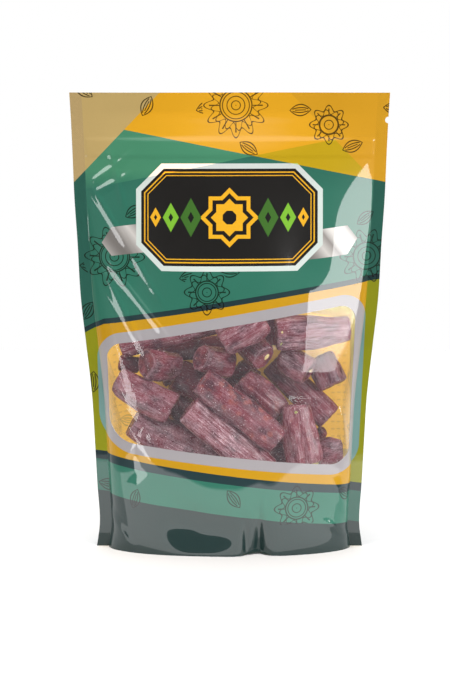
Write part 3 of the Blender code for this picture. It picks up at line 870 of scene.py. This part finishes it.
# The rolls are fruit jelly cooked with mulberry and nuts, drawn out, cut to length and dusted with starch.
# Each is made round its own solid: the same place, length and girth, with a dried, ridged skin.
ROLL_STATIONS, ROLL_ANGLES = 64, 72
CORE_STATIONS, CORE_ANGLES = 8, 24
CORE_REACH = 0.05
CORE_RADIUS = 0.008
CAP_RINGS = 9
EDGE_SCALE = 0.01

# Each kind of relief: how often it changes along and across the roll, and its height
LUMPS, LUMP_HEIGHT = (60, 90, 90), 0.0009
RIDGES, RIDGE_HEIGHT = (26, 300, 300), -0.0009
FINE_RIDGES, FINE_HEIGHT = (55, 760, 760), 0.00030
FOLDS, FOLD_HEIGHT, FOLD_START = (14, 130, 130), -0.0032, 0.12
SKIN_RISE, RIM_DROP, RIM_REACH = 0.0005, -0.0009, 0.0011
TORN_EDGE, TORN_HEIGHT, TORN_START, TORN_REACH = (1, 170, 170), 0.0006, 0.0002, 14
CUT_DISH, CUT_RISE = 0.0004, -0.0001
CUT_LUMPS, CUT_LUMP_HEIGHT = (1, 210, 210), 0.0010
CUT_CRUMBS, CUT_CRUMB_HEIGHT = (1, 700, 700), 0.0004

# roll: how dusty it is, how red its jelly is, how many nut pieces show through, and how streaky it is
ROLL_LOOKS = {1: (0.05, 0.60, 1.0, 0.25), 2: (0.08, 0.40, 0.2, 0.25), 3: (0.12, 0.85, 0.6, 0.80),
              4: (0.16, 0.70, 0.3, 0.50), 5: (0.12, 0.60, 0.2, 0.75), 6: (0.06, 0.80, 0.3, 0.50),
              7: (0.06, 0.55, 0.3, 0.50), 8: (0.06, 0.60, 0.7, 0.45), 9: (0.29, 0.90, 0.1, 1.00),
              10: (0.26, 0.25, 0.2, 0.30), 11: (0.22, 0.45, 0.2, 0.90), 12: (0.16, 0.50, 0.3, 0.60),
              13: (0.14, 0.45, 0.2, 0.35), 14: (0.20, 0.45, 0.2, 0.35), 15: (0.10, 0.65, 0.3, 0.50),
              16: (0.10, 0.70, 0.2, 0.60)}
# The rolls far back, which show only in the gaps, get less dust than any other: painted shade that darkens
# the gaps between the rolls.
REAR_SHADED_LOOK = (-0.08, 0.55, 0.2, 0.30)


def solid_ends(node):
    """The centres of the two cut ends of a roll's solid, and its mesh as a search tree."""
    mesh = bpy.data.objects[node].data
    corners = [vert.co.copy() for vert in mesh.vertices]
    faces = [tuple(face.vertices) for face in mesh.polygons]
    groups = {}
    for face in faces:
        a, b, c = (corners[i] for i in face[:3])
        flat = (b - a).cross(c - a).normalized()
        key = tuple(round(value, 2) for value in (*flat, flat.dot(a) * 200))
        groups.setdefault(key, []).append(face)
    centres = []
    for group in sorted(groups.values(), key=len, reverse=True)[:2]:
        seen = {tuple(round(v, 7) for v in corners[i]) for face in group for i in face}
        centres.append(sum((Vector(p) for p in sorted(seen)), Vector()) / len(seen))
    return centres, BVHTree.FromPolygons(corners, faces)


class Roll:
    """One roll: its axis runs from start along axis, and up and out lie across it."""

    def __init__(self, number):
        (self.start, end), self.solid = solid_ends(f"roll_{number:02d}")
        rng = random.Random(700 + number)
        self.shift = Vector((rng.uniform(0, 90), rng.uniform(0, 90), rng.uniform(0, 90)))
        self.axis = end - self.start
        self.length = self.axis.length
        self.axis.normalize()
        self.up = self.axis.cross(Vector((0.0, 1.0, 0.0))).normalized()
        self.out = self.axis.cross(self.up).normalized()
        self.look = ROLL_LOOKS.get(number, REAR_SHADED_LOOK)
        self.ridges = 0.35 + 0.85 * self.look[3]
        self.core = [[self.solid_radius(self.length * i / CORE_STATIONS, math.tau * k / CORE_ANGLES)
                      for k in range(CORE_ANGLES)] for i in range(CORE_STATIONS + 1)]
        self.verts, self.grain, self.ends, self.faces = [], [], [], []

    def solid_radius(self, along, angle):
        arm = self.up * math.cos(angle) + self.out * math.sin(angle)
        centre = self.start + self.axis * min(max(along, 0.0002), self.length - 0.0002)
        hit = self.solid.ray_cast(centre + arm * CORE_REACH, -arm)[0]
        return (hit - centre).length if hit else CORE_RADIUS

    def core_radius(self, part, angle):
        """The solid's radius, evened out between a few places on it."""
        i, k = min(part * CORE_STATIONS, CORE_STATIONS - 0.001), angle / math.tau * CORE_ANGLES
        a, b = i - int(i), k - int(k)
        low, high = self.core[int(i)], self.core[int(i) + 1]
        near, far = int(k) % CORE_ANGLES, (int(k) + 1) % CORE_ANGLES
        return (low[near] * (1 - b) + low[far] * b) * (1 - a) + (high[near] * (1 - b) + high[far] * b) * a

    def noise(self, place, scales, turns=1.0):
        return noise.noise(Vector([p * scale for p, scale in zip(place, scales)]) + self.shift * turns)

    def skin(self, part, angle):
        """The skin's radius: soft lumps, lengthwise ridges and a rounded rim at each cut."""
        along = part * self.length
        core = self.core_radius(part, angle)
        place = (along, core * math.cos(angle), core * math.sin(angle))
        lump = self.noise(place, LUMPS) * LUMP_HEIGHT
        ridges = abs(self.noise(place, RIDGES)) * RIDGE_HEIGHT + self.noise(place, FINE_RIDGES) * FINE_HEIGHT
        fold = max(0.0, self.noise(place, FOLDS, 1.7) - FOLD_START) * FOLD_HEIGHT * self.ridges
        rim = RIM_DROP * max(0.0, 1 - min(along, self.length - along) / RIM_REACH) ** 2
        return core + SKIN_RISE + lump + ridges * self.ridges + fold + rim

    def add(self, along, place, end):
        """A new corner: how far along it stands, its place in the grain, and how near to a cut it is."""
        self.verts.append(self.start + self.axis * along + self.up * place[1] + self.out * place[2])
        self.grain.append(place)
        self.ends.append(end)
        return len(self.verts) - 1

    def join(self, low, high):
        """Faces between two rings of corners."""
        for k in range(ROLL_ANGLES):
            j = (k + 1) % ROLL_ANGLES
            self.faces.append((low[k], low[j], high[j], high[k]))

    def side_ring(self, part):
        """A ring of skin; near the cuts it is drawn in here and there, as a torn edge is."""
        inward = 1 if part < 0.5 else -1
        ring = []
        for k in range(ROLL_ANGLES):
            angle = math.tau * k / ROLL_ANGLES
            radius = self.skin(part, angle)
            tip = self.noise((0.0, math.cos(angle) * 0.01, math.sin(angle) * 0.01), TORN_EDGE, 2.3)
            pull = abs(TORN_HEIGHT * tip - TORN_START) * max(0.0, 1 - min(part, 1 - part) * TORN_REACH)
            place = (part * self.length, radius * math.cos(angle), radius * math.sin(angle))
            end = -min(part, 1 - part) * self.length / EDGE_SCALE
            ring.append(self.add(place[0] + pull * inward, place, end))
        return ring

    def cut_ring(self, which, share):
        """A ring of the uneven cut face, at this share of the skin's radius."""
        along, inward = which * self.length, 1 - 2 * which
        ring = []
        for k in range(ROLL_ANGLES):
            angle = math.tau * k / ROLL_ANGLES
            radius = self.skin(float(which), angle) * share
            y, z = radius * math.cos(angle), radius * math.sin(angle)
            place = (along + 0.3 * which, y, z)
            sink = CUT_DISH * (1 - share) ** 0.5 + CUT_LUMP_HEIGHT * self.noise(place, CUT_LUMPS)
            sink = max(sink + CUT_CRUMB_HEIGHT * self.noise(place, CUT_CRUMBS), CUT_RISE)
            ring.append(self.add(along + inward * sink, (along + inward * sink, y, z), 1 - share))
        return ring

    def close(self, which, ring):
        """The cut face at one end: rings that shrink to a middle corner."""
        for step in range(1, CAP_RINGS + 1):
            inner = self.cut_ring(which, 1 - step / (CAP_RINGS + 1))
            self.join(*((ring, inner) if which else (inner, ring)))
            ring = inner
        middle = self.add(0.0, (which * self.length, 0.0, 0.0), 1.0)
        self.verts[middle] = sum((self.verts[i] for i in ring), Vector()) / ROLL_ANGLES
        for k in range(ROLL_ANGLES):
            face = (ring[k], ring[(k + 1) % ROLL_ANGLES], middle)
            self.faces.append(face if which else face[::-1])


def make_roll(number, material):
    roll = Roll(number)
    stations = [0.5 - 0.5 * math.cos(math.pi * i / ROLL_STATIONS) for i in range(ROLL_STATIONS + 1)]
    rings = [roll.side_ring(0.35 * s + 0.65 * i / ROLL_STATIONS) for i, s in enumerate(stations)]
    for low, high in zip(rings, rings[1:]):
        roll.join(low, high)
    roll.close(0, rings[0])
    roll.close(1, rings[-1])
    mesh = bpy.data.meshes.new(f"delight_{number:02d}")
    mesh.from_pydata(roll.verts, [], roll.faces)
    count = len(roll.verts)
    grain = np.array(roll.grain) + np.array(roll.shift) * 0.01
    for name, kind, values in (
            ("grain", 'FLOAT_VECTOR', grain.ravel()), ("cut_end", 'FLOAT', roll.ends),
            ("look", 'FLOAT_VECTOR', roll.look[:3] * count), ("streaky", 'FLOAT', roll.look[3:] * count)):
        attribute = mesh.attributes.new(name, kind, 'POINT')
        attribute.data.foreach_set("vector" if kind == 'FLOAT_VECTOR' else "value", values)
    mesh.materials.append(material)
    mesh.shade_smooth()
    return stand(mesh.name, mesh)


DARK_JELLY, RED_JELLY = (0.058, 0.009, 0.020, 1.0), (0.150, 0.017, 0.032, 1.0)
THIN_DUST, THICK_DUST = (0.405, 0.208, 0.250, 1.0), (0.66, 0.49, 0.53, 1.0)
SUNK_NUT = (0.27, 0.048, 0.030, 1.0)


def roll_material():
    """Dark red jelly under a thin uneven dust of starch, drawn out lengthwise, with nuts near the skin."""
    material, shader, start = new_material("mulberry_jelly")
    grain, cut = start.attribute("grain", "Vector"), start.attribute("cut_end")
    dusty, streaky = start.attribute("look", "Vector").parts(), start.attribute("streaky")
    ruddy, nutty = dusty.out(1), dusty.out(2)

    def speckle(stretch, detail, roughness=0.5):
        scaled = grain.node("ShaderNodeVectorMath", {"operation": 'MULTIPLY'}, {0: grain, 1: stretch})
        return scaled.noise(1.0, detail, roughness) - 0.5

    streaks = speckle((42.0, 850.0, 850.0), 3.0, 0.6)
    hairs = speckle((95.0, 2300.0, 2300.0), 2.0)
    clouds = speckle((170.0, 240.0, 240.0), 4.0, 0.6)
    patches = speckle((90.0, 130.0, 130.0), 1.0)
    crumbs = speckle((1000.0, 1300.0, 1300.0), 3.0, 0.6)
    nuts = grain.node("ShaderNodeTexVoronoi", {}, {"Vector": grain, "Scale": 190.0})
    skin = (0.12 - cut).between(0.0, 0.10)
    jelly = (patches * 4.0 + ruddy).clamped().blend(DARK_JELLY, RED_JELLY)
    nut_mask = (nuts - 0.36).inside(0.24) * (clouds * 6.0 + nutty * 1.5 - 0.9).clamped(0.65)
    jelly = jelly.paint(SUNK_NUT, nut_mask)
    dust = streaks * (0.3 + streaky * 1.6) + hairs * (0.5 + streaky) + clouds * 1.3 + crumbs * 1.2 + dusty
    dust = dust.clamped(0.9) * (0.30 + skin * 0.70) * (1.0 - nut_mask * 0.45)
    rim = (abs(cut) - 0.02).inside(0.03)
    dust = dust.larger(rim * 0.32)
    paint = jelly.paint(THIN_DUST, dust).paint(THICK_DUST, (dust - 0.50).clamped() * 1.5)
    height = streaks * (0.2 + streaky * 0.6) + hairs * 0.2 + clouds * 0.4 + crumbs * 0.2
    bump = start.node("ShaderNodeBump", {}, {"Strength": 0.6, "Distance": 0.0005, "Height": height})
    plug(shader, {"Base Color": paint, "Roughness": 0.24 + dust * 0.45, "Normal": bump,
                  "Subsurface Weight": 0.12, "Subsurface Scale": 0.003,
                  "Subsurface Radius": (1.0, 0.25, 0.2)})
    return material


jelly_skin = roll_material()
rolls = []
for number in range(1, 1 + sum(name.startswith("roll_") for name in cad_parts)):
    roll = make_roll(number, jelly_skin)
    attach(roll, "root")
    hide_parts(f"roll_{number:02d}")
    rolls.append(roll)


# The starch that coats the rolls clots into loose pale grains, finer than sugar, which stick to their skin.
# They are scattered over the sides of the rolls that face the window.
GRAIN_RADIUS = (0.00010, 0.00030)
GRAINS_PER_SQUARE_METRE = 60000.0


def grow(name, carrier, inputs, build, material):
    """A plain mesh grown on a carrier by a Geometry Nodes tree with these named inputs."""
    tree = bpy.data.node_groups.new(name, 'GeometryNodeTree')
    tree.interface.new_socket("Carrier", in_out='INPUT', socket_type='NodeSocketGeometry')
    tree.interface.new_socket("Grown", in_out='OUTPUT', socket_type='NodeSocketGeometry')
    sockets = {}
    for label, value in inputs.items():
        kind = 'NodeSocketInt' if isinstance(value, int) else 'NodeSocketFloat'
        sockets[label] = tree.interface.new_socket(label, in_out='INPUT', socket_type=kind)
    entry = Value(tree).node("NodeGroupInput")
    grown = build(entry, {label: entry.out(label) for label in inputs})
    joined = grown.node("GeometryNodeRealizeInstances", {}, {0: grown})
    dressed = joined.node("GeometryNodeSetMaterial", {}, {"Geometry": joined, "Material": material})
    dressed.node("NodeGroupOutput", {}, {0: dressed})
    modifier = carrier.modifiers.new(name, 'NODES')
    modifier.node_group = tree
    for label, value in inputs.items():
        modifier[sockets[label].identifier] = value
    bpy.context.view_layer.update()
    mesh = bpy.data.meshes.new_from_object(carrier.evaluated_get(bpy.context.evaluated_depsgraph_get()))
    mesh.name = name
    carrier.modifiers.remove(modifier)
    bpy.data.objects.remove(carrier)
    return stand(name, mesh)


def build_grains(carrier, inputs):
    """Grains on the faces that look to the front, each with its own size and turn."""
    facing = carrier.node("GeometryNodeInputNormal").parts().out(1)
    front = facing.node("FunctionNodeCompare", {"data_type": 'FLOAT', "operation": 'LESS_THAN'},
                        {0: facing, 1: 0.1})
    points = carrier.node("GeometryNodeDistributePointsOnFaces", {}, {
        "Mesh": carrier, "Selection": front, "Density": inputs["Density"], "Seed": inputs["Seed"]})
    size = points.node("FunctionNodeRandomValue", {"data_type": 'FLOAT'}, {
        2: inputs["Smallest"], 3: inputs["Largest"], "Seed": inputs["Seed"]}, 1)
    turn = points.node("FunctionNodeRandomValue", {"data_type": 'FLOAT_VECTOR'}, {
        0: (0.0, 0.0, 0.0), 1: (6.28, 6.28, 6.28), "Seed": inputs["Seed"]})
    grain = points.node("GeometryNodeMeshIcoSphere", {}, {"Radius": 1.0, "Subdivisions": 1})
    turned = points.node("FunctionNodeEulerToRotation", {}, {0: turn})
    return points.node("GeometryNodeInstanceOnPoints", {}, {
        "Points": points, "Instance": grain, "Rotation": turned, "Scale": size})


def joined_copy(name, pieces):
    """One new mesh with the faces of all the pieces."""
    points, faces = [], []
    for piece in pieces:
        first = len(points)
        points += [tuple(vert.co) for vert in piece.data.vertices]
        faces += [[first + corner for corner in face.vertices] for face in piece.data.polygons]
    mesh = bpy.data.meshes.new(name)
    mesh.from_pydata(points, [], faces)
    return stand(name, mesh)


starch, starch_shader, starch_start = new_material("starch_grain")
starch_mottle = starch_start.place().noise(900.0)
starch_tint = starch_mottle.blend((0.60, 0.42, 0.46, 1.0), (0.84, 0.74, 0.76, 1.0))
plug(starch_shader, {"Base Color": starch_tint, "Roughness": 0.55 + starch_mottle * 0.2})
starch_grains = grow("starch_grains", joined_copy("grain_carrier", rolls), {
    "Density": GRAINS_PER_SQUARE_METRE, "Smallest": GRAIN_RADIUS[0], "Largest": GRAIN_RADIUS[1], "Seed": 4},
    build_grains, starch)
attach(starch_grains, "root")


# Chopped pistachio: uneven chips from green to pale yellow, sunk by half into the jelly of a few rolls.
# place across, height, length, breadth, turn in degrees, and how yellow it is
NUT_CHIPS = (
    (23.4, 123.0, 4.4, 3.0, 70, 1.0),
    (51.4, 113.2, 3.6, 2.4, 20, 0.85),
    (42.0, 89.0, 2.8, 1.8, 30, 0.15),
    (33.0, 139.2, 2.4, 1.6, 80, 0.7),
    (32.4, 131.6, 2.6, 1.6, 50, 0.2),
)
NUT_SUNK = 0.0004


def build_nuts(carrier, inputs):
    """A lumpy chip at every point, turned and sized by the point's own values."""
    size = carrier.node("GeometryNodeInputNamedAttribute", {"data_type": 'FLOAT_VECTOR'}, {0: "size"})
    turn = carrier.node("GeometryNodeInputNamedAttribute", {"data_type": 'FLOAT_VECTOR'}, {0: "turn"})
    chip = carrier.node("GeometryNodeMeshIcoSphere", {}, {"Radius": 1.0, "Subdivisions": 4})
    turned = carrier.node("FunctionNodeEulerToRotation", {}, {0: turn})
    chips = carrier.node("GeometryNodeInstanceOnPoints", {}, {
        "Points": carrier, "Instance": chip, "Rotation": turned, "Scale": size})
    chips = chips.node("GeometryNodeRealizeInstances", {}, {0: chips})
    lumps = chips.node("GeometryNodeInputPosition").noise(inputs["Lump scale"]) - 0.5
    push = chips.node("ShaderNodeVectorMath", {"operation": 'SCALE'}, {
        0: chips.node("GeometryNodeInputNormal"), "Scale": lumps * inputs["Lump height"]})
    return chips.node("GeometryNodeSetPosition", {}, {"Geometry": chips, "Offset": push})


def nut_carrier():
    """A loose point for every chip, on the roll that shows at its place."""
    mesh = bpy.data.meshes.new("nut_carrier")
    skins = joined_copy("nut_skins", rolls)
    tree = BVHTree.FromPolygons([vert.co for vert in skins.data.vertices],
                                [tuple(face.vertices) for face in skins.data.polygons])
    bpy.data.objects.remove(skins)
    points, sizes, turns, tones = [], [], [], []
    for x, height, length, breadth, turn, tone in NUT_CHIPS:
        before = Vector((x * 0.001, -0.2, height * 0.001))
        place, facing, _, _ = tree.ray_cast(before, Vector((0.0, 1.0, 0.0)))
        points.append(place - facing * NUT_SUNK)
        sizes += [length * 0.0005, breadth * 0.0005, breadth * 0.0004]
        lie = facing.to_track_quat('Z', 'Y') @ Quaternion((0.0, 0.0, 1.0), math.radians(turn))
        turns += list(lie.to_euler())
        tones.append(tone)
    mesh.from_pydata(points, [], [])
    mesh.attributes.new("size", 'FLOAT_VECTOR', 'POINT').data.foreach_set("vector", sizes)
    mesh.attributes.new("turn", 'FLOAT_VECTOR', 'POINT').data.foreach_set("vector", turns)
    mesh.attributes.new("tone", 'FLOAT', 'POINT').data.foreach_set("value", tones)
    return stand("nut_carrier", mesh)


pistachio, nut_shader, nut_start = new_material("pistachio")
nut_mottle = nut_start.place().noise(900.0) - 0.5
ripeness = (nut_start.attribute("tone") + nut_mottle * 0.8).clamped()
nut_tint = ripeness.blend((0.20, 0.26, 0.035, 1.0), (0.72, 0.56, 0.24, 1.0))
plug(nut_shader, {"Base Color": nut_tint, "Roughness": 0.5})
pistachio_chips = grow("pistachio_chips", nut_carrier(), {"Lump scale": 700.0, "Lump height": 0.0012},
                       build_nuts, pistachio)
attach(pistachio_chips, "root")


# The floor and the light: a pale plain surface, a bright surround and soft boxes to the right and left.
floor_mesh = bpy.data.meshes.new("floor")
floor_mesh.from_pydata([(-0.3, -0.32, 0), (0.3, -0.32, 0), (0.3, 0.9, 0), (-0.3, 0.9, 0)], [], [(0, 1, 2, 3)])
floor = stand("floor", floor_mesh)
floor_material, floor_shader, _ = new_material("pale_floor")
plug(floor_shader, {"Base Color": (0.68, 0.68, 0.68, 1.0), "Roughness": 0.9, "Specular IOR Level": 0.0})
floor_mesh.materials.append(floor_material)

FRONT_GLOW, REAR_GLOW, SKY_GLOW = 0.12, 0.9, 2.0
REAR_RISE, SKY_RISE = (-0.1, 0.5), (0.40, 0.62)
world = bpy.data.worlds.new("surround")
world.use_nodes = True
bpy.context.scene.world = world
surround = Value(world.node_tree)
heading = surround.node("ShaderNodeTexCoord", output="Generated").parts()
glow = FRONT_GLOW + heading.out(1).between(*REAR_RISE) * (REAR_GLOW - FRONT_GLOW)
glow = glow.larger(heading.out(2).between(*SKY_RISE) * SKY_GLOW)
seen = surround.node("ShaderNodeLightPath", output="Is Camera Ray")
plug(world.node_tree.nodes["Background"], {0: (1.0, 1.0, 1.0, 1.0), 1: glow * (1.0 - seen) + seen})


LIGHT_DISTANCE = 1.5
CREASE_LIGHTS = ((-49.0, -9.0, (0.48, 0.26)), (-46.0, 23.0, (0.64, 0.46)))
TABLE_GLOW_PLACE = (0.0, -0.1635, 0.0006)


def area_light(name, size, radiance):
    """A rectangular light of this brightness, which shines down."""
    light = bpy.data.lights.new(name, 'AREA')
    light.shape = 'RECTANGLE'
    light.size, light.size_y = size
    light.energy = radiance * math.pi * size[0] * size[1]
    return stand(name, light)


def soft_box(name, azimuth, elevation, size, radiance, roll=0.0):
    """A light that faces the pouch; azimuth runs to the right from the front."""
    box = area_light(name, size, radiance)
    turn, lift = math.radians(azimuth), math.radians(elevation)
    away = Vector((math.sin(turn) * math.cos(lift), -math.cos(turn) * math.cos(lift), math.sin(lift)))
    box.location = CAMERA_AIM + away * LIGHT_DISTANCE
    facing = away.to_track_quat('Z', 'Y') @ Quaternion((0.0, 0.0, 1.0), math.radians(roll))
    box.rotation_euler = facing.to_euler()
    return box


soft_box("right_box", 49.5, 5.5, (1.34, 0.46), 9.5, roll=-10.0)
soft_box("left_fill", -60.0, 20.0, (0.50, 0.60), 9.0).visible_glossy = False
for azimuth, elevation, size in CREASE_LIGHTS:
    soft_box("crease_light", azimuth, elevation, size, 8.0).visible_diffuse = False

# The bright table in front of the pouch, which its foot mirrors
table_glow = area_light("table_glow", (0.60, 0.255), 1.6)
table_glow.location = TABLE_GLOW_PLACE
table_glow.rotation_euler = (math.pi, 0.0, 0.0)
table_glow.visible_diffuse = table_glow.visible_camera = table_glow.visible_transmission = False
